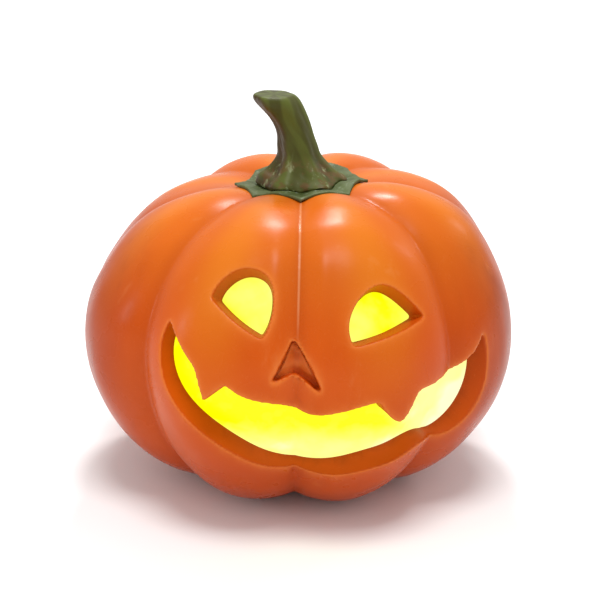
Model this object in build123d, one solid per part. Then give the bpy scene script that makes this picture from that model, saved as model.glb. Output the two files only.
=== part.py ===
from build123d import *
import os
from math import sin, cos, radians, pi

# Lit ceramic pumpkin: a ribbed slip-cast shell with a recessed carved face, three glow panels,
# a leaf collar and stem, and a battery lamp unit in the foot.
# Frame: origin on the table under the pumpkin's axis, front towards -Y, +Z up, millimetres.

# ---- driving dimensions: pumpkin shell -------------------------------------------------------
RIBS = 8
RIB_ANGLE = 360 / RIBS
GROUND_GAP = 3.6           # height of the rubber feet, and so of the shell's foot ring
WALL = 6.0                 # slip-cast wall
POCKET_DEPTH = 17.0        # how far the glow panels sit behind the crests of the ribs
CORE_GROOVE = 0.3          # the panels' surface has only this share of the grooves' depth
NOSE_DEPTH = 9.0           # the nose is a blind pocket
SLEEVE_WALL = 5.0          # wall of the sleeve around each pocket
CROWN_LEAN = 0.05          # the crown is this much higher towards +X, as a slope
LEAN_START = 100.0         # height above the foot ring where the lean begins
LEAN_RISE = 100.0          # height over which it grows to its full slope
# Each station of the outside: radius at a rib's crest, height above the foot ring, depth of
# the grooves between ribs, and depth of the front groove, which is only a crease above the nose.
STATIONS = [
    (62, 0, 5, 5), (76, 1, 6.5, 6.5), (92, 6.5, 9, 9), (118, 26, 11.5, 11.5),
    (142, 62, 13.5, 13), (151, 103, 13.5, 11), (144, 141, 11.5, 7), (126, 172, 9.5, 5),
    (101, 194, 8, 4.5), (74, 203.5, 6.5, 5), (50, 205, 4.5, 4.5), (30, 202, 2.5, 2.5),
    (14, 200, 0, 0),
]
# How far each rib's shoulder stands proud of the even shape, from the front right one round.
RIB_SWELL = [0, 0.5, -3.5, 1.5, 1.5, -5, -2, 0]
SWELL_START = 100.0        # height above the foot ring where the swell begins
SWELL_RISE = 70.0          # height over which it grows to its full amount
CROWN_HEIGHT = GROUND_GAP + STATIONS[-1][1]

# ---- driving dimensions: carved face ---------------------------------------------------------
# Directions from the face centre, as (azimuth, elevation) in degrees: azimuth 0 is the front,
# positive to the viewer's right. Each outline is a list of curves that meet in sharp corners.
FACE_CENTRE = Vector(0, 0, GROUND_GAP + 100)
FACE_PLANE = 175.0         # distance of the outer drawing plane, outside the shell
FACE_RADIUS = 147.0        # mean distance of the shell's front from the face centre
NEAR_SHARE = 0.35          # the carving cones end at this share of their length from the apex
# The pockets narrow towards a point this far forward of the face centre, and this far to +X.
LEFT_EYE_APEX = (50, -10)
RIGHT_EYE_APEX = (50, 10)
FACE_APEX = (0, 0)          # the mouth and the nose narrow towards the face centre itself
LEFT_EYE = [
    [(-24.2, 24.4), (-21.5, 30.2), (-15.2, 33.4), (-9.4, 32.0), (-6.5, 24.5), (-9.1, 15.9)],
    [(-9.1, 15.9), (-16, 19.3), (-24.2, 24.4)],
]
RIGHT_EYE = [
    [(35.7, 19.2), (30, 25.3), (23.4, 28.6), (17.2, 26), (13.2, 19), (14.2, 14.3)],
    [(14.2, 14.3), (23, 15.9), (35.7, 19.2)],
]
MOUTH = [
    [(-35.8, 16.9), (-31, 11.7), (-25.5, 6.9)],
    [(-25.5, 6.9), (-24.5, 4), (-22.8, -0.9)],
    [(-22.8, -0.9), (-17.2, 3.9)],
    [(-17.2, 3.9), (-8.5, 0), (-2, -1.5), (3, -3.6), (9, -3), (20.3, -0.1)],
    [(20.3, -0.1), (24, -5), (26.7, -6.4), (29, -4), (32, 1)],
    [(32, 1), (42, 2), (50, 4.5), (56, 10.8)],
    [(56, 10.8), (57, 3), (56, -8), (51, -17), (46, -19.2), (40, -17.4), (34, -17.4), (28, -19.6),
     (22, -21), (12, -24), (1, -24.3), (-8, -21.3), (-18, -14.4), (-28, -6.8), (-35, 1.5),
     (-37.2, 11), (-35.8, 16.9)],
]
# The sleeve behind the mouth is a plain crescent, so that the teeth stay solid.
MOUTH_SLEEVE = [
    [(-40, 21), (-19, 11), (4, 5), (31, 8), (60, 16)],
    [(60, 16), (62, -2), (53, -21), (30, -26), (4, -30), (-20, -21), (-39, -3), (-40, 21)],
]
NOSE = [
    [(-1.2, 16.3), (-3.2, 11.5), (-7.4, 3.6)],
    [(-7.4, 3.6), (-3.6, 6.3), (-0.6, 7.4)],
    [(-0.6, 7.4), (2.6, 5.4), (6.9, 1.0)],
    [(6.9, 1.0), (4.2, 7.5), (-1.2, 16.3)],
]

# ---- driving dimensions: collar and stem -----------------------------------------------------
GLUE_GAP = 0.15            # between cemented or glued faces
COLLAR_THICKNESS = 2.2
COLLAR_TIP = 45.5          # the collar's points lie in the shell's grooves
COLLAR_WAIST = 40.0        # radius of its edge halfway between two points
SPIGOT_RADIUS = 7.0        # peg under the stem, cemented through the collar and the crown
SPIGOT_DROP = 10.0         # how far the peg reaches below the crown's outside
STEM_FLUTES = 6
STEM_POINTS = 4            # points for each flute in a section
# Each station of the stem: height above the crown, offset to the left, radius, flute depth share.
STEM_STATIONS = [
    (-1.5, 0, 26, 0.05), (1.5, 0, 29, 0.06), (5, 0, 29, 0.08), (8.5, 0.2, 25.5, 0.10),
    (13.5, 0.6, 19.5, 0.11), (19.5, 1.3, 15.2, 0.09), (27, 2.9, 13.1, 0.07), (34, 4.3, 12, 0.06),
    (44, 7.6, 12.1, 0.06), (50.5, 11.4, 13.4, 0.05), (57, 16.2, 15, 0.04), (61.3, 18.8, 14.4, 0.03),
    (63, 19.4, 12.2, 0.02),
]

# ---- driving dimensions: glow panels ---------------------------------------------------------
PANEL_THICKNESS = 2.0
PANEL_LEDGE = 2.0          # how far the sleeve's wall runs on past the back of the panel

# ---- driving dimensions: foot, feet and base plate -------------------------------------------
FOOT_HOLE_RADIUS = 45.0
FOOT_CIRCLE = 56.0         # the rubber feet stand on this circle under the foot ring
FOOT_PAD_RADIUS = 5.0
FOOT_AZIMUTHS = [-112.5, -67.5, -22.5, 22.5, 67.5, 112.5]
PLATE_BOTTOM = 1.0
FLANGE_RADIUS = 50.0
PLUG_RADIUS = 42.6
PLUG_WALL = 2.6
PLUG_HEIGHT = 8.4
GASKET_BOTTOM = 1.4        # above the foot ring
GASKET_HEIGHT = 3.0
FIT_GAP = 0.1              # between neighbouring parts of the lamp unit

# ---- driving dimensions: battery bay, cells and contacts -------------------------------------
CELL_RADIUS = 7.25
CELL_LENGTH = 49.5         # without the button on the positive end
CELL_BUTTON_RADIUS = 2.7
CELL_BUTTON = 1.0
CELL_PITCH = 15.2
CELL_X = [-CELL_PITCH, 0.0, CELL_PITCH]
CELL_POLARITY = [-1, 1, -1]        # the positive end points to the front (-1) or the back (1)
CELL_AXIS_Z = 10.7
BAY_WIDTH = 46.2
BAY_LENGTH = 58.0
BAY_TOP = 18.6             # inside
BAY_WALL = 1.6
BAY_ROOF = BAY_TOP + BAY_WALL
CONTACT_THICKNESS = 0.5
CONTACT_SIZE = 10.0
SPRING_RADIUS = 3.6
SPRING_WIRE = 0.4
SPRING_PITCH = 1.6
TERMINAL_WIDTH = 3.0
TERMINAL_OUT = 3.0         # how far a terminal tab stands out of the bay

# ---- driving dimensions: sliding battery door ------------------------------------------------
DOOR_WIDTH = 50.0
DOOR_TONGUE = 1.6          # width of the tongue along each side
DOOR_LIP = 0.8             # thickness below the tongues
DOOR_THICKNESS = 1.6
DOOR_FRONT = -31.0
DOOR_PLAY = 0.1
DOOR_GRIPS = 5
DOOR_GRIP_PITCH = 3.0
DOOR_GRIP_DEPTH = 0.4
DOOR_GRIP_WIDTH = 1.2

# ---- driving dimensions: switch --------------------------------------------------------------
SWITCH_X = 30.5
SWITCH_SIZE = (9.0, 18.0, 9.0)
SWITCH_CAVITY = (7.0, 16.0, 5.0)
SWITCH_SLOT = (4.0, 10.0)
SWITCH_KNOB = (3.6, 5.0)
SWITCH_KNOB_BOTTOM = 1.3
SWITCH_CARRIER = (6.4, 9.0, 1.8)
SWITCH_TRAVEL = 4.0
SWITCH_PIN_RADIUS = 0.6
SWITCH_PIN_LENGTH = 2.6
SWITCH_PIN_PITCH = 5.0

# ---- driving dimensions: lamp ----------------------------------------------------------------
BOARD_RADIUS = 20.0
BOARD_THICKNESS = 1.6
BOSS_HEIGHT = 5.0
BOSS_RADIUS = 3.0
BOSS_CIRCLE = 15.0
BOSS_ANGLES = [45.0, 165.0, 285.0]
BOARD_BOTTOM = BAY_ROOF + BOSS_HEIGHT
BOARD_TOP = BOARD_BOTTOM + BOARD_THICKNESS
SCREW_RADIUS = 1.1
SCREW_CLEARANCE = 0.1
SCREW_LENGTH = 4.0         # below the board
SCREW_HEAD_RADIUS = 2.3
SCREW_HEAD_HEIGHT = 1.6
SCREW_SLOT = 0.6
LED_CIRCLE = 7.0
LED_ANGLES = [105.0, 225.0, 345.0]
LED_RADIUS = 2.5
LED_HEIGHT = 5.0
LED_RIM_RADIUS = 2.9
LED_RIM_HEIGHT = 1.0
RESISTOR_RADIUS = 1.2
RESISTOR_LENGTH = 6.0
DOME_RADIUS = 24.0
DOME_WALL = 1.5
DOME_SKIRT = 18.0
DOME_NOTCH = (5.0, 6.0)
LEAD_RADIUS = 0.8
LEAD_LEVEL = BAY_ROOF + 2.7


# ---- small helpers ---------------------------------------------------------------------------
def smoothstep(t):
    t = min(max(t, 0.0), 1.0)
    return t * t * (3 - 2 * t)


def on_circle(radius, azimuth, height):
    """A point at an azimuth measured from the front, positive to the viewer's right."""
    a = radians(azimuth)
    return Vector(radius * sin(a), -radius * cos(a), height)


def leaned(point):
    """Shift a point up or down so that the crown slopes a little across the pumpkin."""
    share = smoothstep((point.Z - GROUND_GAP - LEAN_START) / LEAN_RISE)
    rise = CROWN_LEAN * point.X * share
    return Vector(point.X, point.Y, point.Z + rise)


def station_normal(i):
    """Outward unit normal (radial, vertical) of the profile at one station."""
    if i == 0:
        return 0.0, -1.0
    if i == len(STATIONS) - 1:
        return 0.0, 1.0
    run = STATIONS[i + 1][0] - STATIONS[i - 1][0]
    rise = STATIONS[i + 1][1] - STATIONS[i - 1][1]
    length = (run * run + rise * rise) ** 0.5
    return rise / length, -run / length


def station_wire(i, inset, groove_share):
    """One closed section: an arc over each rib, meeting its neighbours in the grooves."""
    crest, height, groove, front_groove = STATIONS[i]
    out, up = station_normal(i)
    groove_out, groove_up = (1.0, 0.0) if i == 0 else (out, up)
    swell_share = smoothstep((height - SWELL_START) / SWELL_RISE)
    if i == len(STATIONS) - 1:
        swell_share = 0.0

    def point(azimuth, depth, swell=0.0):
        drop = depth * groove_share
        grow = swell * swell_share - inset
        radius = crest + out * grow - groove_out * drop
        level = GROUND_GAP + height + up * grow - groove_up * drop
        return leaned(on_circle(radius, azimuth, level))

    def groove_point(k):
        return point(k * RIB_ANGLE, front_groove if k % RIBS == 0 else groove)

    arcs = []
    for rib in range(RIBS):
        top = point((rib + 0.5) * RIB_ANGLE, 0, RIB_SWELL[rib])
        arcs.append(Edge.make_three_point_arc(groove_point(rib), top, groove_point(rib + 1)))
    return Wire(arcs)


def pumpkin(inset, groove_share=1.0):
    """The whole pumpkin as a closed solid, moved in by inset all over."""
    return Solid.make_loft(
        [station_wire(i, inset, groove_share) for i in range(len(STATIONS))])


def box(size, centre_x, centre_y, bottom):
    """A box on its bottom face."""
    return Pos(centre_x, centre_y, bottom) * Box(
        *size, align=(Align.CENTER, Align.CENTER, Align.MIN))


def cylinder(radius, bottom, height, x=0.0, y=0.0):
    return Pos(x, y, bottom) * Cylinder(
        radius, height, align=(Align.CENTER, Align.CENTER, Align.MIN))


def polar(radius, angle):
    return radius * cos(radians(angle)), radius * sin(radians(angle))


# ---- carving cones ---------------------------------------------------------------------------
def direction(azimuth, elevation):
    a, e = radians(azimuth), radians(elevation)
    return Vector(cos(e) * sin(a), -cos(e) * cos(a), sin(e))


def outline_middle(outline):
    """Mean direction of an outline's points."""
    total = Vector(0, 0, 0)
    for curve in outline:
        for azimuth, elevation in curve[:-1]:
            total += direction(azimuth, elevation)
    return total.normalized()


def outline_wire(outline, middle, apex, plane_at):
    """The outline cast from the apex onto a plane square to the middle direction."""
    def cast(azimuth, elevation):
        ray = FACE_CENTRE + direction(azimuth, elevation) * FACE_RADIUS - apex
        return apex + ray * (plane_at / ray.dot(middle))

    edges = []
    for curve in outline:
        points = [cast(*p) for p in curve]
        if len(points) == 2:
            edges.append(Edge.make_line(points[0], points[1]))
        else:
            edges.append(Edge.make_spline(points))
    return Wire(edges)


def carving_cone(outline, apex_shift, grow=0.0):
    """A solid cone through the outline, from outside the shell to near its apex.

    grow widens the cone all round by about that much where it meets the shell.
    """
    middle = outline_middle(outline)
    forward, sideways = apex_shift
    apex = FACE_CENTRE + middle * forward + Vector(sideways, 0, 0)
    plane_at = FACE_PLANE + (FACE_CENTRE - apex).dot(middle)
    outer = outline_wire(outline, middle, apex, plane_at)
    if grow:
        outer = outer.offset_2d(grow * FACE_PLANE / FACE_RADIUS, kind=Kind.ARC)
    inner = outer.scale(NEAR_SHARE, about=apex)
    return Solid.make_loft([outer, inner], ruled=True)


# ---- ceramic parts ---------------------------------------------------------------------------
def make_shell():
    """The slip-cast body: 6 mm wall, sleeves behind the carved features, holes top and bottom."""
    cavity = pumpkin(WALL)
    for name, (outline, apex_shift) in FEATURES.items():
        if name == "mouth":
            cavity -= carving_cone(MOUTH_SLEEVE, apex_shift)
        else:
            cavity -= carving_cone(outline, apex_shift, SLEEVE_WALL)
    cavity += pumpkin(POCKET_DEPTH + PANEL_THICKNESS + PANEL_LEDGE, CORE_GROOVE)
    shell = pumpkin(0) - cavity
    for name, (outline, apex_shift) in FEATURES.items():
        cutter = carving_cone(outline, apex_shift)
        if name == "nose":
            cutter -= pumpkin(NOSE_DEPTH)
        shell -= cutter
    shell -= cylinder(FOOT_HOLE_RADIUS, 0, GROUND_GAP + 2 * WALL)
    shell -= cylinder(SPIGOT_RADIUS + GLUE_GAP, CROWN_HEIGHT - 2 * WALL, 3 * WALL)
    return shell


def make_collar():
    """Eight-pointed leaf collar, a thin skin that follows the crown."""
    arcs = []
    for rib in range(RIBS):
        start = rib * RIB_ANGLE
        arcs.append(Edge.make_three_point_arc(
            on_circle(COLLAR_TIP, start, 0), on_circle(COLLAR_WAIST, start + RIB_ANGLE / 2, 0),
            on_circle(COLLAR_TIP, start + RIB_ANGLE, 0)))
    star = Solid.extrude(Face(Wire(arcs)), Vector(0, 0, 4 * COLLAR_TIP))
    star = Pos(0, 0, CROWN_HEIGHT - 2 * COLLAR_TIP) * star
    skin = pumpkin(-COLLAR_THICKNESS - GLUE_GAP) - pumpkin(-GLUE_GAP)
    hole = cylinder(SPIGOT_RADIUS + GLUE_GAP, CROWN_HEIGHT - 2 * WALL, 4 * WALL)
    return skin & star - hole


def stem_section(height, left, radius, flute):
    """One closed fluted section of the stem."""
    count = STEM_FLUTES * STEM_POINTS
    points = []
    for i in range(count):
        angle = 2 * pi * i / count
        r = radius * (1 + flute * cos(STEM_FLUTES * angle))
        points.append(Vector(r * cos(angle) - left, r * sin(angle), CROWN_HEIGHT + height))
    return Wire([Edge.make_spline(points, periodic=True)])


def make_stem():
    """The curved fluted stem, hollowed under its foot to sit on the collar, with its peg."""
    stem = Solid.make_loft([stem_section(*station) for station in STEM_STATIONS])
    stem -= pumpkin(-COLLAR_THICKNESS - 2 * GLUE_GAP)
    peg_top = CROWN_HEIGHT + 2 * COLLAR_THICKNESS
    peg_bottom = CROWN_HEIGHT - SPIGOT_DROP
    return stem + cylinder(SPIGOT_RADIUS, peg_bottom, peg_top - peg_bottom)


def make_panel(outline, apex_shift):
    """A translucent panel glued just inside the back end of one sleeve."""
    slug = carving_cone(outline, apex_shift, -GLUE_GAP) & pumpkin(POCKET_DEPTH, CORE_GROOVE)
    return slug - pumpkin(POCKET_DEPTH + PANEL_THICKNESS, CORE_GROOVE)


# ---- feet, base plate and door ---------------------------------------------------------------
def make_foot(azimuth):
    spot = on_circle(FOOT_CIRCLE, azimuth, 0)
    return cylinder(FOOT_PAD_RADIUS, 0, GROUND_GAP, spot.X, spot.Y)


def channel(extra, bottom, top, width):
    """The room that the door slides in, from its front end out past the flange."""
    length = 2 * FLANGE_RADIUS
    size = (width + 2 * extra, length, top - bottom)
    return box(size, 0, DOOR_FRONT - extra + length / 2, bottom)


def make_base_plate():
    """Flange, plug ring and battery bay in one moulding, with the door's channel cut in it."""
    plate = cylinder(FLANGE_RADIUS, PLATE_BOTTOM, GROUND_GAP - PLATE_BOTTOM)
    plug = cylinder(PLUG_RADIUS, GROUND_GAP, PLUG_HEIGHT)
    plug -= cylinder(PLUG_RADIUS - PLUG_WALL, GROUND_GAP, PLUG_HEIGHT)
    bay_outer = (BAY_WIDTH + 2 * BAY_WALL, BAY_LENGTH + 2 * BAY_WALL, BAY_ROOF - PLATE_BOTTOM)
    plate += plug + box(bay_outer, 0, 0, PLATE_BOTTOM)
    plate -= box((BAY_WIDTH, BAY_LENGTH, BAY_TOP - PLATE_BOTTOM), 0, 0, PLATE_BOTTOM)
    lip_top = PLATE_BOTTOM + DOOR_LIP
    door_top = PLATE_BOTTOM + DOOR_THICKNESS
    plate -= channel(DOOR_PLAY, PLATE_BOTTOM, lip_top + DOOR_PLAY, DOOR_WIDTH)
    plate -= channel(DOOR_PLAY, lip_top, door_top + DOOR_PLAY, DOOR_WIDTH + 2 * DOOR_TONGUE)
    for angle in BOSS_ANGLES:
        x, y = polar(BOSS_CIRCLE, angle)
        plate += cylinder(BOSS_RADIUS, BAY_ROOF, BOSS_HEIGHT, x, y)
        hole_radius = SCREW_RADIUS + SCREW_CLEARANCE
        plate -= cylinder(hole_radius, BOARD_BOTTOM - SCREW_LENGTH - FIT_GAP, BOSS_HEIGHT, x, y)
    plate -= box((*SWITCH_SLOT, GROUND_GAP), SWITCH_X, 0, PLATE_BOTTOM)
    for x, side in TERMINALS:
        slot = (TERMINAL_WIDTH + FIT_GAP, 4 * BAY_WALL, 2 * CONTACT_THICKNESS)
        plate -= box(slot, x, side * BAY_LENGTH / 2, CELL_AXIS_Z - CONTACT_THICKNESS)
    return plate


def make_gasket():
    bottom = GROUND_GAP + GASKET_BOTTOM
    ring = cylinder(FOOT_HOLE_RADIUS - FIT_GAP, bottom, GASKET_HEIGHT)
    return ring - cylinder(PLUG_RADIUS + FIT_GAP, bottom, GASKET_HEIGHT)


def make_door():
    """Flat door with a tongue along each side; its back end follows the flange's rim."""
    length = 2 * FLANGE_RADIUS
    middle = DOOR_FRONT + length / 2
    door = box((DOOR_WIDTH, length, DOOR_THICKNESS), 0, middle, PLATE_BOTTOM)
    tongue = DOOR_THICKNESS - DOOR_LIP - DOOR_PLAY
    tongues = (DOOR_WIDTH + 2 * DOOR_TONGUE, length, tongue)
    door += box(tongues, 0, middle, PLATE_BOTTOM + DOOR_LIP + DOOR_PLAY)
    door &= cylinder(FLANGE_RADIUS, PLATE_BOTTOM, DOOR_THICKNESS)
    for i in range(DOOR_GRIPS):
        y = FLANGE_RADIUS / 2 + i * DOOR_GRIP_PITCH
        groove = (DOOR_WIDTH / 2, DOOR_GRIP_WIDTH, DOOR_GRIP_DEPTH)
        door -= box(groove, 0, y, PLATE_BOTTOM)
    return door


# ---- cells and contacts ----------------------------------------------------------------------
def along_y(solid, x, y, z):
    """Turn a solid that stands on Z so that its axis runs along +Y from the given point."""
    return Pos(x, y, z) * Rot(-90, 0, 0) * solid


def cell_ends(i):
    """Y of a cell's flat negative end, and the direction of its positive end."""
    positive = CELL_POLARITY[i]
    wall = BAY_LENGTH / 2 - CONTACT_THICKNESS - FIT_GAP
    flat_positive = positive * (wall - CELL_BUTTON - FIT_GAP)
    return flat_positive - positive * CELL_LENGTH, positive


def make_cell(i):
    negative, positive = cell_ends(i)
    start = negative if positive > 0 else negative - CELL_LENGTH
    cell = along_y(cylinder(CELL_RADIUS, 0, CELL_LENGTH), CELL_X[i], start, CELL_AXIS_Z)
    button_start = negative + positive * CELL_LENGTH
    if positive < 0:
        button_start -= CELL_BUTTON
    button = cylinder(CELL_BUTTON_RADIUS, 0, CELL_BUTTON)
    return cell + along_y(button, CELL_X[i], button_start, CELL_AXIS_Z)


def make_contact(cells, side, terminal):
    """A plated strip on one end wall, behind one cell or bridging two."""
    xs = [CELL_X[i] for i in cells]
    width = max(xs) - min(xs) + CONTACT_SIZE
    centre = sum(xs) / len(xs)
    y = side * (BAY_LENGTH / 2 - CONTACT_THICKNESS / 2 - FIT_GAP / 2)
    bottom = CELL_AXIS_Z - CONTACT_SIZE / 2
    strip = box((width, CONTACT_THICKNESS, CONTACT_SIZE), centre, y, bottom)
    if terminal:
        reach = BAY_WALL + TERMINAL_OUT + CONTACT_THICKNESS
        tab = (TERMINAL_WIDTH, reach, CONTACT_THICKNESS)
        tab_y = y + side * reach / 2
        strip += box(tab, centre, tab_y, CELL_AXIS_Z - CONTACT_THICKNESS / 2)
    return strip


def make_spring(i):
    """The coil that presses on a cell's negative end."""
    negative, positive = cell_ends(i)
    wall = -positive * (BAY_LENGTH / 2 - CONTACT_THICKNESS - FIT_GAP)
    gap = abs(negative - wall) - 2 * SPRING_WIRE - 4 * FIT_GAP
    path = Helix(SPRING_PITCH, gap, SPRING_RADIUS)
    profile = Plane(origin=path @ 0, z_dir=path % 0) * Circle(SPRING_WIRE)
    coil = sweep(profile, path, is_frenet=True)
    start = min(negative, wall) + SPRING_WIRE + 2 * FIT_GAP
    return along_y(coil, CELL_X[i], start, CELL_AXIS_Z)


# ---- switch ----------------------------------------------------------------------------------
def make_switch_housing():
    housing = box(SWITCH_SIZE, SWITCH_X, 0, GROUND_GAP)
    housing -= box(SWITCH_CAVITY, SWITCH_X, 0, GROUND_GAP)
    for step in (-1, 0, 1):
        y = step * SWITCH_PIN_PITCH
        top = GROUND_GAP + SWITCH_SIZE[2]
        housing += cylinder(SWITCH_PIN_RADIUS, top, SWITCH_PIN_LENGTH, SWITCH_X, y)
    return housing


def make_switch_slider():
    """Knob through the flange on a carrier in the housing, at its front stop: switched on."""
    y = -SWITCH_TRAVEL / 2
    carrier_bottom = GROUND_GAP + FIT_GAP
    knob = (*SWITCH_KNOB, carrier_bottom - SWITCH_KNOB_BOTTOM)
    return box(knob, SWITCH_X, y, SWITCH_KNOB_BOTTOM) + box(
        SWITCH_CARRIER, SWITCH_X, y, carrier_bottom)


# ---- lamp ------------------------------------------------------------------------------------
def make_board():
    board = cylinder(BOARD_RADIUS, BOARD_BOTTOM, BOARD_THICKNESS)
    for angle in BOSS_ANGLES:
        x, y = polar(BOSS_CIRCLE, angle)
        hole = SCREW_RADIUS + SCREW_CLEARANCE
        board -= cylinder(hole, BOARD_BOTTOM, BOARD_THICKNESS, x, y)
    return board


def make_board_screws():
    screws = []
    for angle in BOSS_ANGLES:
        x, y = polar(BOSS_CIRCLE, angle)
        bottom = BOARD_BOTTOM - SCREW_LENGTH
        screw = cylinder(SCREW_RADIUS, bottom, SCREW_LENGTH + BOARD_THICKNESS, x, y)
        screw += cylinder(SCREW_HEAD_RADIUS, BOARD_TOP, SCREW_HEAD_HEIGHT, x, y)
        slot = (2 * SCREW_HEAD_RADIUS, SCREW_SLOT, SCREW_SLOT)
        screw -= box(slot, x, y, BOARD_TOP + SCREW_HEAD_HEIGHT - SCREW_SLOT)
        screws.append(screw.solid())
    return Compound(screws)


def make_led(angle):
    x, y = polar(LED_CIRCLE, angle)
    led = cylinder(LED_RIM_RADIUS, BOARD_TOP, LED_RIM_HEIGHT, x, y)
    led += cylinder(LED_RADIUS, BOARD_TOP, LED_HEIGHT, x, y)
    return led + Pos(x, y, BOARD_TOP + LED_HEIGHT) * Sphere(LED_RADIUS)


def make_resistor():
    body = cylinder(RESISTOR_RADIUS, 0, RESISTOR_LENGTH)
    return along_y(body, 0, -RESISTOR_LENGTH / 2, BOARD_TOP + RESISTOR_RADIUS)


def dome_solid(radius, skirt):
    return cylinder(radius, BAY_ROOF, skirt) + Pos(0, 0, BAY_ROOF + skirt) * Sphere(radius)


def make_dome():
    """Frosted diffuser over the lamp, notched where the two leads pass under it."""
    dome = dome_solid(DOME_RADIUS, DOME_SKIRT)
    dome &= cylinder(DOME_RADIUS, BAY_ROOF, DOME_SKIRT + DOME_RADIUS)
    dome -= dome_solid(DOME_RADIUS - DOME_WALL, DOME_SKIRT)
    width, height = DOME_NOTCH
    dome -= box((2 * DOME_WALL + width, width, height), DOME_RADIUS, 0, BAY_ROOF)
    dome -= box((width, 2 * DOME_WALL + width, height), 0, DOME_RADIUS, BAY_ROOF)
    return dome


def make_lead(points, radii):
    """An insulated wire: straight runs joined by arcs."""
    path = FilletPolyline(*points, radius=radii)
    return sweep(Plane(origin=path @ 0, z_dir=path % 0) * Circle(LEAD_RADIUS), path)


def lead_routes():
    """The three wires of the lamp unit, each as its corner points and corner radii."""
    pin_top = GROUND_GAP + SWITCH_SIZE[2] + SWITCH_PIN_LENGTH
    tab_y = BAY_LENGTH / 2 + BAY_WALL + TERMINAL_OUT - LEAD_RADIUS
    tab_z = CELL_AXIS_Z + CONTACT_THICKNESS / 2
    under_board = 14.0
    red = [(SWITCH_X, 0, pin_top), (SWITCH_X, 0, LEAD_LEVEL), (under_board, 0, LEAD_LEVEL),
           (under_board, 0, BOARD_BOTTOM)]
    black = [(CELL_PITCH, tab_y, tab_z), (CELL_PITCH, tab_y, LEAD_LEVEL), (0, tab_y, LEAD_LEVEL),
             (0, under_board, LEAD_LEVEL), (0, under_board, BOARD_BOTTOM)]
    link = [(-CELL_PITCH, -tab_y, tab_z), (-CELL_PITCH, -tab_y, LEAD_LEVEL),
            (CELL_PITCH, -tab_y, LEAD_LEVEL), (SWITCH_X, -SWITCH_PIN_PITCH, LEAD_LEVEL),
            (SWITCH_X, -SWITCH_PIN_PITCH, pin_top)]
    return {
        "lead_red": (red, [3.0, 2.0]),
        "lead_black": (black, [3.0, 4.0, 2.0]),
        "lead_link": (link, [3.0, 4.0, 3.0]),
    }


# ---- the whole lantern -----------------------------------------------------------------------
FEATURES = {
    "left_eye": (LEFT_EYE, LEFT_EYE_APEX),
    "right_eye": (RIGHT_EYE, RIGHT_EYE_APEX),
    "mouth": (MOUTH, FACE_APEX),
    "nose": (NOSE, FACE_APEX),
}
TERMINALS = [(CELL_X[0], -1), (CELL_X[2], 1)]


def all_parts():
    """Every sub-part by the name of its node."""
    parts = {"body_shell": make_shell(), "leaf_collar": make_collar(), "stem": make_stem()}
    for name, (outline, apex_shift) in FEATURES.items():
        if name != "nose":
            parts[name + "_panel"] = make_panel(outline, apex_shift)
    for i, azimuth in enumerate(FOOT_AZIMUTHS):
        parts[f"rubber_foot_{i + 1}"] = make_foot(azimuth)
    parts["base_plate"] = make_base_plate()
    parts["base_gasket"] = make_gasket()
    parts["battery_door"] = make_door()
    for i in range(len(CELL_X)):
        parts[f"battery_{i + 1}"] = make_cell(i)
        parts[f"contact_spring_{i + 1}"] = make_spring(i)
    parts["contact_front_terminal"] = make_contact([0], -1, True)
    parts["contact_front_bridge"] = make_contact([1, 2], -1, False)
    parts["contact_rear_terminal"] = make_contact([2], 1, True)
    parts["contact_rear_bridge"] = make_contact([0, 1], 1, False)
    parts["switch_housing"] = make_switch_housing()
    parts["switch_slider"] = make_switch_slider()
    parts["led_board"] = make_board()
    parts["board_screws"] = make_board_screws()
    for i, angle in enumerate(LED_ANGLES):
        parts[f"led_{i + 1}"] = make_led(angle)
    parts["resistor"] = make_resistor()
    parts["lamp_dome"] = make_dome()
    for name, (points, radii) in lead_routes().items():
        parts[name] = make_lead(points, radii)
    return parts


os.makedirs("parts", exist_ok=True)
for node, shape in all_parts().items():
    export_step(shape, f"parts/{node}.step")
    print(node, round(shape.volume), "mm3")
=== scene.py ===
"""Looks of the lit ceramic pumpkin: satin painted shell, leaf collar, fluted stem and glow panels.

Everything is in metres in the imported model's frame: the face looks along -Y, +Z is up.
"""
import math

import bmesh
import bpy
import numpy as np
from mathutils import Matrix, Vector
from mathutils.bvhtree import BVHTree


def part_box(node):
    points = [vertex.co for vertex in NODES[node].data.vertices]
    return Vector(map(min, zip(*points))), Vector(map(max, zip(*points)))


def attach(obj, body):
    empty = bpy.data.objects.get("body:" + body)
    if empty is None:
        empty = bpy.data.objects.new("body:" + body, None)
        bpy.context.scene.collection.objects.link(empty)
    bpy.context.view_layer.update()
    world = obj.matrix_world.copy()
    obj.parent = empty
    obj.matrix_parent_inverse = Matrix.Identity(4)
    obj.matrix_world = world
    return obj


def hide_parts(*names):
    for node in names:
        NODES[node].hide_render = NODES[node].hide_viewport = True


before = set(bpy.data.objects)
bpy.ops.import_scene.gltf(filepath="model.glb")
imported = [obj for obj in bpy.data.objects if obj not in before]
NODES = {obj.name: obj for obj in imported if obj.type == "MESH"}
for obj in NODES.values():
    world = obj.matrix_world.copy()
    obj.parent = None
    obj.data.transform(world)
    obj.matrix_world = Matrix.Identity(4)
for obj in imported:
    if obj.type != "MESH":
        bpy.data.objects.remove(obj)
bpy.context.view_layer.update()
MM = 0.001

# ---- measures read from the frame ------------------------------------------------------------
STEM_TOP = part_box("stem")[1].z
FOOT_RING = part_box("rubber_foot_1")[1].z
FACE_CENTRE = Vector((0, 0, FOOT_RING + 0.100))
CROWN = FOOT_RING + 0.2035
RIBS = 8
RIB_ANGLE = 360 / RIBS     # degrees

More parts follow.
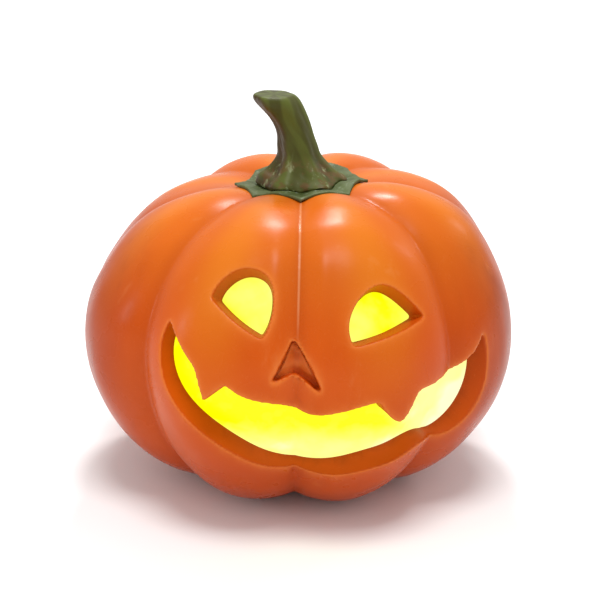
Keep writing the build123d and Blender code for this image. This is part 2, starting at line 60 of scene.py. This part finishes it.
# ---- camera ----------------------------------------------------------------------------------
CAMERA_ELEVATION = math.radians(20)
CAMERA_DISTANCE = 1.2
CAMERA_ROLL = math.radians(1.3)
CAMERA_LENS = 102.96
CAMERA_SHIFT = (0.0033, 0.04)
CAMERA_SENSOR = 36
CAMERA_CLIP = (0.05, 50)


def new_object(name, data):
    obj = bpy.data.objects.new(name, data)
    bpy.context.scene.collection.objects.link(obj)
    return obj


def make_camera():
    data = bpy.data.cameras.new("camera")
    camera = new_object("camera", data)
    back = Vector((0, -math.cos(CAMERA_ELEVATION), math.sin(CAMERA_ELEVATION)))
    right = Vector((1, 0, 0))
    up = back.cross(right)
    rolled_right = right * math.cos(CAMERA_ROLL) + up * math.sin(CAMERA_ROLL)
    rolled_up = up * math.cos(CAMERA_ROLL) - right * math.sin(CAMERA_ROLL)
    turn = Matrix((rolled_right, rolled_up, back)).transposed().to_4x4()
    camera.matrix_world = Matrix.Translation(FACE_CENTRE + back * CAMERA_DISTANCE) @ turn
    data.lens = CAMERA_LENS
    data.sensor_width = CAMERA_SENSOR
    data.shift_x, data.shift_y = CAMERA_SHIFT
    data.clip_start, data.clip_end = CAMERA_CLIP
    bpy.context.scene.camera = camera


# ---- studio ----------------------------------------------------------------------------------
WORLD_STRENGTH = 0.68
SUN_STRENGTH = 1.55
SUN_WIDTH = math.radians(22)
SUN_WAY = Vector((-0.02, 0.20, -1))
# Each area light: name, place, the point it faces, width, height and power in watts.
AREA_LIGHTS = [
    ("window_back", (-0.02, 0.72, 1.20), (0, 0, 0.18), 0.24, 0.15, 7.4),
    ("strip_left", (-1.20, -0.22, 0.42), (0, 0, 0.12), 0.06, 0.34, 1.3),
    ("strip_right", (0.95, 0.55, 0.85), (0, 0, 0.15), 0.10, 0.30, 1.0),
]
FLOOR_RADIUS = 9
FLOOR_SEGMENTS = 96


def aimed(lamp, way):
    lamp.rotation_mode = "QUATERNION"
    lamp.rotation_quaternion = way.to_track_quat("-Z", "Y")


def area_light(name, place, aim, width, height, power):
    data = bpy.data.lights.new(name, "AREA")
    data.energy = power
    data.shape = "RECTANGLE"
    data.size, data.size_y = width, height
    lamp = new_object(name, data)
    lamp.location = place
    aimed(lamp, Vector(aim) - Vector(place))


def make_world():
    world = bpy.data.worlds.new("studio")
    bpy.context.scene.world = world
    world.use_nodes = True
    background = world.node_tree.nodes["Background"]
    background.inputs["Color"].default_value = (1, 1, 1, 1)
    background.inputs["Strength"].default_value = WORLD_STRENGTH


def make_floor():
    mesh = bpy.data.meshes.new("floor")
    shape = bmesh.new()
    bmesh.ops.create_circle(shape, cap_ends=True, radius=FLOOR_RADIUS, segments=FLOOR_SEGMENTS)
    shape.to_mesh(mesh)
    shape.free()
    floor = new_object("floor", mesh)
    floor.data.materials.append(floor_material())


def make_studio():
    make_world()
    overhead = bpy.data.lights.new("overhead", "SUN")
    overhead.energy = SUN_STRENGTH
    overhead.angle = SUN_WIDTH
    aimed(new_object("overhead", overhead), SUN_WAY)
    for light in AREA_LIGHTS:
        area_light(*light)
    make_floor()
    bpy.context.scene.view_settings.view_transform = "Standard"


# ---- material building -----------------------------------------------------------------------
class Nodes:
    """A short way to write a material's node tree."""

    def __init__(self, name):
        self.material = bpy.data.materials.new(name)
        self.material.use_nodes = True
        self.tree = self.material.node_tree
        self.shader = self.tree.nodes["Principled BSDF"]
        self.place = self.tree.nodes.new("ShaderNodeTexCoord").outputs["Object"]

    def add(self, kind, **settings):
        node = self.tree.nodes.new(kind)
        for key, value in settings.items():
            setattr(node, key, value)
        return node

    def link(self, source, target):
        if isinstance(source, (int, float)):
            target.default_value = source
        elif isinstance(source, tuple):
            target.default_value = (*source, 1) if len(source) == 3 else source
        else:
            self.tree.links.new(source, target)

    def math(self, operation, a, b=0.0, clamp=False):
        node = self.add("ShaderNodeMath", operation=operation, use_clamp=clamp)
        self.link(a, node.inputs[0])
        self.link(b, node.inputs[1])
        return node.outputs[0]

    def mix(self, share, a, b):
        node = self.add("ShaderNodeMix", data_type="RGBA")
        self.link(share, node.inputs[0])
        self.link(a, node.inputs[6])
        self.link(b, node.inputs[7])
        return node.outputs[2]

    def noise(self, scale, detail=3.0, roughness=0.5, stretch=None, distortion=0.0):
        node = self.add("ShaderNodeTexNoise")
        node.inputs["Scale"].default_value = scale
        node.inputs["Detail"].default_value = detail
        node.inputs["Roughness"].default_value = roughness
        node.inputs["Distortion"].default_value = distortion
        self.link(self.stretched(stretch), node.inputs["Vector"])
        return node.outputs["Fac"]

    def stretched(self, stretch):
        if stretch is None:
            return self.place
        node = self.add("ShaderNodeMapping")
        node.inputs["Scale"].default_value = stretch
        self.link(self.place, node.inputs["Vector"])
        return node.outputs["Vector"]

    def ramp(self, value, low, high, out_low=0.0, out_high=1.0):
        node = self.add("ShaderNodeMapRange", interpolation_type="SMOOTHSTEP")
        for key, number in zip(("From Min", "From Max", "To Min", "To Max"),
                               (low, high, out_low, out_high)):
            node.inputs[key].default_value = number
        self.link(value, node.inputs["Value"])
        return node.outputs["Result"]

    def attribute(self, name):
        return self.add("ShaderNodeAttribute", attribute_name=name).outputs["Fac"]

    def axis(self, name):
        node = self.add("ShaderNodeSeparateXYZ")
        self.link(self.place, node.inputs[0])
        return node.outputs[name]

    def bump(self, height, strength, distance):
        node = self.add("ShaderNodeBump")
        node.inputs["Strength"].default_value = strength
        node.inputs["Distance"].default_value = distance
        self.link(height, node.inputs["Height"])
        self.link(node.outputs["Normal"], self.shader.inputs["Normal"])

    def finish(self, colour, roughness, **sockets):
        self.link(colour, self.shader.inputs["Base Color"])
        self.link(roughness, self.shader.inputs["Roughness"])
        for key, value in sockets.items():
            self.shader.inputs[key.replace("_", " ")].default_value = value
        return self.material


def srgb(red, green, blue):
    """A colour given as 0 to 255 display values, as linear light."""
    def linear(value):
        share = value / 255
        return share / 12.92 if share <= 0.04045 else ((share + 0.055) / 1.055) ** 2.4
    return linear(red), linear(green), linear(blue)


def floor_material():
    n = Nodes("floor")
    shade = n.mix(n.ramp(n.noise(3, 2), 0.3, 0.7), (0.93, 0.93, 0.93), (0.96, 0.96, 0.96))
    return n.finish(shade, 0.9, Specular_IOR_Level=0.0)


def painted_shell_material():
    """Sprayed satin orange, with painted highlights brighter on the upward crests, the top and the rims,
    and painted shade redder in the grooves and pockets, low down and on the sides.
    """
    n = Nodes("painted_shell")
    groove_tone_and_shade = n.attribute("groove_tone_and_shade")
    pocket = n.attribute("pocket")
    panel_edge_shade = n.attribute("panel_edge_shade")
    crest_highlight = n.attribute("crest_highlight")
    rim_highlight = n.attribute("rim_highlight")
    low = n.ramp(n.axis("Z"), 0.0, 0.12, 1.0, 0.0)
    colour = n.mix(n.ramp(n.noise(14, 3), 0.35, 0.65), srgb(200, 78, 6), srgb(206, 84, 8))
    # painted highlight: lighter orange on the upward-facing rib crests
    colour = n.mix(n.math("MULTIPLY", crest_highlight, 0.75), colour, srgb(220, 118, 22))
    # painted light: the upper part lighter and yellower, as lit from above
    high = n.ramp(n.axis("Z"), FOOT_RING + 0.12, FOOT_RING + 0.20)
    colour = n.mix(n.math("MULTIPLY", high, 0.45), colour, srgb(218, 120, 26))
    # painted shade: darker and redder towards the bottom
    colour = n.mix(n.math("MULTIPLY", low, 0.68), colour, srgb(166, 58, 4))
    # painted shade: darker on the left and right sides
    colour = n.mix(n.math("MULTIPLY", n.attribute("side"), 0.85), colour, srgb(156, 52, 3))
    # darker vertical streaks, only on the sides, adding to the painted side shade
    streaks = n.ramp(n.noise(45, 3, 0.55, (1, 1, 0.15)), 0.45, 0.70, 0.0, 0.45)
    colour = n.mix(n.math("MULTIPLY", streaks, n.attribute("side")), colour, srgb(132, 46, 6))
    # darker, redder paint along the grooves: partly the spray's own tone, partly painted shade in the
    # creases
    colour = n.mix(n.math("MULTIPLY", groove_tone_and_shade, 0.25), colour, srgb(160, 54, 6))
    # painted shade: darker and redder on the pocket walls
    colour = n.mix(n.math("MULTIPLY", pocket, 0.22), colour, srgb(176, 60, 8))
    # painted light: the lower pocket walls, which face up, lighter orange
    lip = n.math("MULTIPLY", pocket, low)
    colour = n.mix(n.math("MULTIPLY", lip, 0.75), colour, srgb(216, 92, 10))
    # painted highlight: pale orange along the pocket rims
    colour = n.mix(n.math("MULTIPLY", rim_highlight, 0.55), colour, srgb(234, 132, 58))
    # painted highlight: pale line down the front crease
    colour = n.mix(n.math("MULTIPLY", painted_crease_highlight(n), 0.38), colour, srgb(238, 170, 120))
    # painted shade: dark brown line where the pocket walls meet the glow panels
    colour = n.mix(n.math("MULTIPLY", panel_edge_shade, 0.55), colour, srgb(96, 36, 6))
    speck = n.ramp(n.noise(900, 2, 0.6), 0.62, 0.72)
    colour = n.mix(n.math("MULTIPLY", speck, 0.10), colour, srgb(232, 150, 90))
    scuff = n.math("MULTIPLY", n.ramp(n.noise(60, 4, 0.6, (1, 1, 0.3)), 0.62, 0.75), 0.10)
    colour = n.mix(scuff, colour, srgb(232, 160, 100))
    rough = n.math("ADD", n.ramp(n.noise(35, 4), 0.3, 0.7, 0.25, 0.33), n.math("MULTIPLY", pocket, 0.2))
    fine = n.math("ADD", n.math("MULTIPLY", n.noise(420, 3), 0.35), n.noise(60, 3))
    n.bump(fine, 0.10, 0.0008)
    return n.finish(colour, rough, Specular_IOR_Level=0.14)


def painted_crease_highlight(n):
    """A painted highlight: a pale line down the front groove, from under the collar to the nose."""
    line = n.ramp(n.math("ABSOLUTE", n.axis("X")), 0.2 * MM, 1.1 * MM, 1.0, 0.0)
    front = n.ramp(n.axis("Y"), -0.040, -0.030, 1.0, 0.0)
    height = n.ramp(n.axis("Z"), FOOT_RING + 0.130, FOOT_RING + 0.160)
    patchiness = n.ramp(n.noise(22, 3), 0.30, 0.55, 0.35, 1.0)
    return n.math("MULTIPLY", n.math("MULTIPLY", line, front), n.math("MULTIPLY", height, patchiness))


def collar_material():
    n = Nodes("painted_collar")
    colour = n.mix(n.ramp(n.noise(90, 4, 0.6), 0.35, 0.65), srgb(64, 74, 34), srgb(86, 98, 54))
    colour = n.mix(n.math("MULTIPLY", n.attribute("edge"), 0.40), colour, srgb(106, 114, 74))
    scuffs = n.ramp(n.noise(150, 5, 0.65, (1, 1, 1), 1.2), 0.58, 0.70)
    colour = n.mix(n.math("MULTIPLY", scuffs, 0.5), colour, srgb(164, 176, 156))
    brown = n.ramp(n.noise(60, 3, 0.5), 0.60, 0.76)
    colour = n.mix(n.math("MULTIPLY", brown, 0.5), colour, srgb(104, 74, 46))
    n.bump(n.noise(260, 4, 0.6), 0.35, 0.0008)
    return n.finish(colour, n.ramp(n.noise(80, 3), 0.3, 0.7, 0.45, 0.65), Specular_IOR_Level=0.22)


def stem_material():
    """Olive paint over brown: painted highlights paler on the flutes, painted shade browner in their
    valleys, darker brown on the left-facing side (partly brown undertone, partly painted shade), brown
    patches on the foot.
    """
    n = Nodes("painted_stem")
    ridge = n.attribute("ridge")
    foot = n.attribute("foot")
    streaks = n.ramp(n.noise(75, 3, 0.5, (1, 1, 0.10)), 0.35, 0.65)
    colour = n.mix(streaks, srgb(66, 70, 20), srgb(78, 84, 28))
    # painted highlight: paler olive on the flute ridges
    colour = n.mix(n.math("MULTIPLY", ridge, 0.45), colour, srgb(98, 106, 42))
    # painted shade: browner in the flute valleys
    valley_shade = n.math("SUBTRACT", 1.0, ridge, clamp=True)
    colour = n.mix(n.math("MULTIPLY", valley_shade, 0.30), colour, srgb(66, 54, 22))
    # darker brown on the left-facing side: partly the stem's brown undertone, partly painted shade
    brown = n.math("MULTIPLY", n.attribute("left"), 0.80)
    colour = n.mix(brown, colour, srgb(64, 40, 8))
    patches = n.ramp(n.noise(110, 4, 0.6), 0.48, 0.62)
    colour = n.mix(n.math("MULTIPLY", n.math("MULTIPLY", foot, patches), 0.55), colour, srgb(104, 66, 38))
    pale = n.ramp(n.noise(150, 5, 0.65, (1, 1, 0.4)), 0.56, 0.68)
    colour = n.mix(n.math("MULTIPLY", n.math("MULTIPLY", foot, pale), 0.70), colour, srgb(150, 160, 116))
    height = n.math("ADD", n.noise(70, 3, 0.5, (1, 1, 0.10)), n.math("MULTIPLY", n.noise(300, 3), 0.3))
    n.bump(height, 0.30, 0.0008)
    return n.finish(colour, n.ramp(n.noise(60, 3), 0.3, 0.7, 0.42, 0.55), Specular_IOR_Level=0.20)


def glow_material(name, saturated, pale, share):
    """A lit translucent panel: share, from 0 to 1, turns the saturated yellow to the pale one."""
    n = Nodes(name)
    share = share(n)
    fibres = n.ramp(n.noise(90, 3, 0.5), 0.35, 0.65, -0.10, 0.04)
    share = n.math("ADD", share, fibres, clamp=True)
    colour = n.mix(share, saturated, pale)
    cloud = n.math("MULTIPLY", n.ramp(n.noise(34, 2, 0.4), 0.50, 0.68), n.ramp(share, 0.5, 0.9))
    colour = n.mix(n.math("MULTIPLY", cloud, 0.8), colour, (1.0, 1.0, 0.72))
    n.link(colour, n.shader.inputs["Emission Color"])
    n.shader.inputs["Emission Strength"].default_value = 1.0
    n.bump(n.noise(200, 3), 0.15, 0.0006)
    base = n.mix(share, srgb(90, 80, 0), srgb(110, 100, 30))
    return n.finish(base, n.ramp(n.noise(90, 3), 0.3, 0.7, 0.35, 0.55), Specular_IOR_Level=0.2)


def eye_glow(n):
    return n.ramp(n.noise(26, 2, 0.4), 0.35, 0.70, 0.05, 0.65)


def mouth_glow(n):
    """Painted shade in the glow: saturated under the upper lip, where the lip shades the panel, and at
    the left end; pale below, where studio light is painted on, and to the right.
    """
    height = n.ramp(n.axis("Z"), FOOT_RING + 0.056, FOOT_RING + 0.082, 0.85, 0.0)
    right = n.ramp(n.axis("X"), 0.050, 0.085)
    left = n.ramp(n.axis("X"), -0.075, -0.045)
    return n.math("MULTIPLY", n.math("MAXIMUM", height, right), left)


def plastic_material(name, colour, rough=0.5, grain=900, strength=0.12, spread=0.25, **sockets):
    """Moulded plastic or rubber: a fine grain with slight changes of shade and gloss."""
    n = Nodes(name)
    darker = tuple(c * (1 - spread) for c in colour)
    shade = n.mix(n.ramp(n.noise(70, 3), 0.3, 0.7), darker, colour)
    n.bump(n.noise(grain, 2), strength, 0.0004)
    gloss = n.ramp(n.noise(50, 3), 0.3, 0.7, rough - 0.05, rough + 0.08)
    return n.finish(shade, gloss, **sockets)


def metal_material(name, colour, rough=0.3):
    n = Nodes(name)
    streaks = n.noise(300, 3, 0.6, (1, 0.1, 1))
    shade = n.mix(n.ramp(streaks, 0.3, 0.7), tuple(c * 0.85 for c in colour), colour)
    n.bump(streaks, 0.08, 0.0003)
    return n.finish(shade, n.ramp(streaks, 0.3, 0.7, rough - 0.05, rough + 0.1), Metallic=1.0)


# ---- mesh building ---------------------------------------------------------------------------
WELD_DISTANCE = 1e-6
SMOOTHING = 0.5            # share of the way to its neighbours that a vertex moves in a round
WAVES = 6                  # sine waves crossed in each waviness


def coordinates(mesh):
    flat = np.empty(len(mesh.vertices) * 3, np.float32)
    mesh.vertices.foreach_get("co", flat)
    return flat.reshape(-1, 3).astype(float)


def set_coordinates(mesh, points):
    mesh.vertices.foreach_set("co", points.astype(np.float32).ravel())
    mesh.update()


def normals(mesh):
    flat = np.empty(len(mesh.vertices) * 3, np.float32)
    mesh.vertex_normals.foreach_get("vector", flat)
    return flat.reshape(-1, 3).astype(float)


def set_attribute(mesh, name, values):
    layer = mesh.attributes.new(name, "FLOAT", "POINT")
    layer.data.foreach_set("value", values.astype(np.float32))


def with_modifier(obj, kind, **settings):
    """Applies one modifier to an object's own mesh."""
    modifier = obj.modifiers.new(kind.lower(), kind)
    for key, value in settings.items():
        setattr(modifier, key, value)
    bpy.context.view_layer.update()
    evaluated = obj.evaluated_get(bpy.context.evaluated_depsgraph_get())
    mesh = bpy.data.meshes.new_from_object(evaluated)
    obj.modifiers.clear()
    old = obj.data
    obj.data = mesh
    bpy.data.meshes.remove(old)


def fresh_copy(name, node, voxel):
    """A new piece with a CAD node's shape, as an even quad mesh."""
    shape = bmesh.new()
    shape.from_mesh(NODES[node].data)
    bmesh.ops.remove_doubles(shape, verts=shape.verts, dist=WELD_DISTANCE)
    mesh = bpy.data.meshes.new(name)
    shape.to_mesh(mesh)
    shape.free()
    mesh.materials.clear()
    obj = new_object(name, mesh)
    with_modifier(obj, "REMESH", mode="VOXEL", voxel_size=voxel)
    obj.data.name = name
    return obj


def neighbours(mesh):
    """The mesh's edges and each vertex's number of neighbours."""
    pairs = np.empty(len(mesh.edges) * 2, np.int32)
    mesh.edges.foreach_get("vertices", pairs)
    pairs = pairs.reshape(-1, 2)
    count = np.bincount(pairs.ravel(), minlength=len(mesh.vertices)).astype(float)
    return pairs, np.maximum(count, 1)


def blurred(values, links, rounds):
    """Values averaged over their neighbours, some rounds over."""
    pairs, count = links
    for _ in range(rounds):
        total = np.bincount(pairs[:, 0], values[pairs[:, 1]], len(count))
        total += np.bincount(pairs[:, 1], values[pairs[:, 0]], len(count))
        values = 0.5 * values + 0.5 * total / count
    return values


def smoothstep(low, high, values):
    share = np.clip((values - low) / (high - low), 0, 1)
    return share * share * (3 - 2 * share)


def waves(points, scale, seed):
    """Smooth seeded waviness between about -1 and 1, made of crossed sine waves."""
    total = np.zeros(len(points))
    spin = np.random.default_rng(seed)
    for _ in range(WAVES):
        way = spin.normal(size=3)
        way *= spin.uniform(0.6, 1.6) / np.linalg.norm(way)
        total += np.sin(points @ way * (2 * math.pi / scale) + spin.uniform(0, 2 * math.pi))
    return total / 3


def shade_smooth(mesh):
    mesh.polygons.foreach_set("use_smooth", [True] * len(mesh.polygons))


# ---- pumpkin shell ---------------------------------------------------------------------------
SHELL_VOXEL = 1.25 * MM
SHELL_TRIANGLES = 190_000
PANEL_REACH = 0.012        # how far from a vertex a glow panel is looked for
GROOVE_WIDTH = 7 * MM      # width of the darker paint along a groove
FRONT_GROOVE_WIDTH = 2.5 * MM
FRONT_RIDGE = 15 * MM      # from the front groove's middle to the soft ridge on either side
FRONT_WIDTH = 6 * MM       # width of the crease and of each ridge
# The nose pocket, in degrees either side of the front and above the face centre. Inside it, points
# nearer to the face centre than NOSE_REACH, and a little more for each degree to the side, lie below
# the shell's outside.
NOSE_SIDE = 9
NOSE_BOTTOM, NOSE_TOP = 1, 17
NOSE_REACH = 0.1345
NOSE_REACH_GROWTH = 0.0009
NOSE_LIFT = 3.0 * MM


def panel_distance(points, chosen):
    """Distance from the chosen points to the nearest glow panel, and 1 m elsewhere."""
    distance = np.ones(len(points))
    for node in ("left_eye_panel", "right_eye_panel", "mouth_panel"):
        mesh = NODES[node].data
        tree = BVHTree.FromPolygons([v.co for v in mesh.vertices],
                                    [tuple(p.vertices) for p in mesh.polygons])
        for i in np.flatnonzero(chosen):
            found = tree.find_nearest(Vector(points[i]), PANEL_REACH)
            if found[0] is not None:
                distance[i] = min(distance[i], found[3])
    return distance


def from_face_centre(points):
    """Each point's direction, distance, azimuth and elevation, the last two in degrees."""
    out = points - np.array(FACE_CENTRE)
    reach = np.linalg.norm(out, axis=1)
    out /= reach[:, None]
    azimuth = np.degrees(np.arctan2(points[:, 0], -points[:, 1]))
    elevation = np.degrees(np.arcsin(np.clip(out[:, 2], -1, 1)))
    return out, reach, azimuth, elevation


def in_nose(reach, azimuth, elevation):
    """Whether each point lies in the nose pocket or below it."""
    aside = np.abs(azimuth)
    return (aside < NOSE_SIDE) & (elevation < NOSE_TOP) & (reach < NOSE_REACH + aside * NOSE_REACH_GROWTH)


def paint_shell(mesh, links):
    """Stores where grooves, crests, pockets, rims, sides and panel edges lie, for the paint with its
    painted highlights and shade.
    """
    points = coordinates(mesh)
    out, reach, azimuth, elevation = from_face_centre(points)
    facing = (normals(mesh) * out).sum(1)
    radius = np.hypot(points[:, 0], points[:, 1])
    off = (azimuth / RIB_ANGLE + 0.5) % 1 - 0.5
    groove_distance = np.abs(np.radians(off * RIB_ANGLE)) * radius
    front = (np.abs(azimuth) < 20) & (elevation > 0)
    width = np.where(front, FRONT_GROOVE_WIDTH, GROOVE_WIDTH)
    # groove mask: partly the spray's darker tone, partly painted shade in the creases
    groove_tone_and_shade = np.exp(-(groove_distance / width) ** 2) * smoothstep(0.5, 0.8, facing)
    wall = 1 - smoothstep(0.25, 0.60, facing)
    wall = np.where(in_nose(reach, azimuth, elevation) & (elevation > NOSE_BOTTOM), 1.0, wall)
    soft = blurred(wall, links, 3)
    wide = blurred(wall, links, 14)
    set_attribute(mesh, "groove_tone_and_shade", groove_tone_and_shade)
    # pocket walls: for the painted shade there and a rougher finish
    set_attribute(mesh, "pocket", soft)
    # mask for the painted rim highlight, just outside the pockets
    set_attribute(mesh, "rim_highlight", np.clip(4 * wide * (1 - soft), 0, 1) * smoothstep(0.5, 0.9, facing))
    # mask for the painted crest highlight: away from the grooves, facing out and upwards
    set_attribute(mesh, "crest_highlight", smoothstep(0.20, 0.48, np.abs(off)) * smoothstep(0.6, 0.9, facing)
                  * smoothstep(-0.2, 0.6, out[:, 2]))
    # mask for the painted shade on the left and right sides
    set_attribute(mesh, "side", smoothstep(0.62, 0.97, np.abs(out[:, 0])))
    # mask for the painted shade along the glow panels' edges
    near = (facing < 0.7) & (facing > -0.6) & (points[:, 1] < -0.05)
    distance = panel_distance(points, near)
    set_attribute(mesh, "panel_edge_shade", blurred(1 - smoothstep(0.4 * MM, 2.0 * MM, distance), links, 2))


def front_groove(points, side):
    """A sharper crease between two soft ridges, down the front from the collar to the nose."""
    across = np.abs(points[:, 0])
    height = points[:, 2] - FOOT_RING
    share = smoothstep(0.085, 0.115, height) * (1 - smoothstep(0.180, 0.200, height))
    share *= (points[:, 1] < -0.03) * smoothstep(0.5, 0.8, -side[:, 1] + 0.6 * side[:, 2])
    ridge = np.exp(-((across - FRONT_RIDGE) / FRONT_WIDTH) ** 2)
    crease = np.exp(-(across / FRONT_WIDTH) ** 2)
    return share * (1.1 * ridge - 1.8 * crease) * MM


def nose_floor(points, side):
    """Raises the blind nose's floor towards its top, where the pocket is shallower."""
    out, reach, azimuth, elevation = from_face_centre(points)
    share = smoothstep(0.55, 0.85, (side * out).sum(1)) * smoothstep(3, 11, elevation)
    share *= in_nose(reach, azimuth, elevation)
    return (NOSE_LIFT * share)[:, None] * out


def make_shell():
    shell = fresh_copy("pumpkin_shell", "body_shell", SHELL_VOXEL)
    with_modifier(shell, "SMOOTH", factor=SMOOTHING, iterations=4)
    mesh = shell.data
    points = coordinates(mesh)
    side = normals(mesh)
    lumps = 0.45 * MM * waves(points, 0.090, 3) + 0.20 * MM * waves(points, 0.035, 4)
    moved = points + side * (lumps + front_groove(points, side))[:, None]
    set_coordinates(mesh, moved + nose_floor(points, side))
    triangles = 2 * len(mesh.polygons)
    if triangles > SHELL_TRIANGLES:
        with_modifier(shell, "DECIMATE", ratio=SHELL_TRIANGLES / triangles)
    mesh = shell.data
    paint_shell(mesh, neighbours(mesh))
    shade_smooth(mesh)
    mesh.materials.append(painted_shell_material())
    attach(shell, "lantern")
    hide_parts("body_shell")


# ---- stem and collar -------------------------------------------------------------------------
STEM_VOXEL = 0.75 * MM
STEM_LEAN = -0.0194        # how far the stem's top stands to the side of its foot
STEM_FLUTES = 6
STEM_FINE_LINES = 17
COLLAR_VOXEL = 0.55 * MM
COLLAR_FLAT, COLLAR_TIP = 0.030, 0.046     # radii where the points begin to lift and where they end
VEIN_WIDTH = 4.0           # degrees


def make_stem():
    stem = fresh_copy("pumpkin_stem", "stem", STEM_VOXEL)
    with_modifier(stem, "SMOOTH", factor=SMOOTHING, iterations=14)
    mesh = stem.data
    points = coordinates(mesh)
    side = normals(mesh)
    height = (points[:, 2] - CROWN) / (STEM_TOP - CROWN)
    axis_x = STEM_LEAN * smoothstep(0.0, 1.0, height) ** 1.2
    angle = np.arctan2(points[:, 1], points[:, 0] - axis_x)
    flutes = np.cos(STEM_FLUTES * angle)
    upright = 1 - np.abs(side[:, 2])
    fine = np.sin(STEM_FINE_LINES * angle + 3 * waves(points, 0.05, 7)) * upright
    knobs = (1 - smoothstep(0.05, 0.25, height)) * waves(points, 0.012, 8)
    push = 0.10 * fine + 0.15 * waves(points * np.array([1, 1, 0.25]), 0.018, 9) + 0.7 * knobs
    push *= smoothstep(-0.02, 0.03, height)
    set_coordinates(mesh, points + side * (push * MM)[:, None])
    # mask for the painted highlight on the flutes and the painted shade between them
    set_attribute(mesh, "ridge", smoothstep(-0.6, 0.8, flutes + 0.3 * fine))
    set_attribute(mesh, "foot", 1 - smoothstep(0.10, 0.42, height))
    # mask for the left-facing side's brown: partly undertone, partly painted shade
    set_attribute(mesh, "left", smoothstep(0.1, 0.9, -side[:, 0] - 0.25 * side[:, 2]))
    shade_smooth(mesh)
    mesh.materials.append(stem_material())
    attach(stem, "lantern")
    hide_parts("stem")


def make_collar():
    collar = fresh_copy("leaf_collar_curled", "leaf_collar", COLLAR_VOXEL)
    with_modifier(collar, "SMOOTH", factor=SMOOTHING, iterations=4)
    mesh = collar.data
    points = coordinates(mesh)
    radius = np.hypot(points[:, 0], points[:, 1])
    azimuth = np.degrees(np.arctan2(points[:, 0], -points[:, 1]))
    tip = smoothstep(COLLAR_FLAT, COLLAR_TIP, radius)
    off = (azimuth / RIB_ANGLE + 0.5) % 1 - 0.5
    vein = np.exp(-(off * RIB_ANGLE / VEIN_WIDTH) ** 2)
    lift = 1.2 * tip * waves(points, 0.05, 12) + 0.5 * vein + 0.35 * waves(points, 0.012, 13)
    points[:, 2] += lift * MM
    set_coordinates(mesh, points)
    set_attribute(mesh, "edge", tip)
    shade_smooth(mesh)
    mesh.materials.append(collar_material())
    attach(collar, "lantern")
    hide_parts("leaf_collar")


# ---- parts that keep their CAD shape ---------------------------------------------------------
def dress(names, material):
    for name in names:
        mesh = NODES[name].data
        mesh.materials.clear()
        mesh.materials.append(material)


def numbered(stem, count):
    return [f"{stem}_{i + 1}" for i in range(count)]


def dress_panels():
    yellow = (1.0, 1.0, 0.0)
    eyes = glow_material("eye_glow", yellow, (1.0, 1.0, 0.30), eye_glow)
    dress(["left_eye_panel", "right_eye_panel"], eyes)
    dress(["mouth_panel"], glow_material("mouth_glow", yellow, (1.0, 1.0, 0.36), mouth_glow))


def dress_foot():
    rubber = plastic_material("rubber", (0.03, 0.03, 0.03), 0.7, 500, 0.3)
    dress(numbered("rubber_foot", 6) + ["base_gasket"], rubber)
    dress(["base_plate"], plastic_material("base_plastic", (0.045, 0.045, 0.048), 0.5, 1200, 0.25))
    dress(["battery_door"], plastic_material("door_plastic", (0.07, 0.07, 0.072), 0.45, 1200, 0.25))
    dress(["switch_housing"], plastic_material("switch_plastic", (0.08, 0.08, 0.09), 0.4))
    dress(["switch_slider"], plastic_material("knob_plastic", (0.6, 0.6, 0.57), 0.35))
    dress(numbered("battery", 3), metal_material("cell_jacket", (0.20, 0.22, 0.26), 0.35))
    contacts = [f"contact_{end}_{kind}" for end in ("front", "rear") for kind in ("terminal", "bridge")]
    dress(contacts + numbered("contact_spring", 3), metal_material("nickel", (0.70, 0.69, 0.66), 0.25))


def dress_lamp():
    dress(["board_screws"], metal_material("zinc", (0.6, 0.6, 0.63), 0.35))
    dress(["led_board"], plastic_material("solder_mask", (0.03, 0.17, 0.06), 0.35))
    dress(["resistor"], plastic_material("resistor_body", (0.55, 0.45, 0.28), 0.45))
    dress(["lead_red", "lead_link"], plastic_material("red_insulation", (0.5, 0.03, 0.02), 0.4))
    dress(["lead_black"], plastic_material("black_insulation", (0.02, 0.02, 0.02), 0.4))
    led = plastic_material("led_epoxy", (0.9, 0.85, 0.6), 0.1, 200, 0.02, Transmission_Weight=0.6)
    dress(numbered("led", 3), led)
    dome = plastic_material("frosted_dome", (0.9, 0.88, 0.8), 0.55, 600, 0.1, Transmission_Weight=0.3)
    dress(["lamp_dome"], dome)


make_camera()
make_studio()
make_shell()
make_stem()
make_collar()
dress_panels()
dress_foot()
dress_lamp()
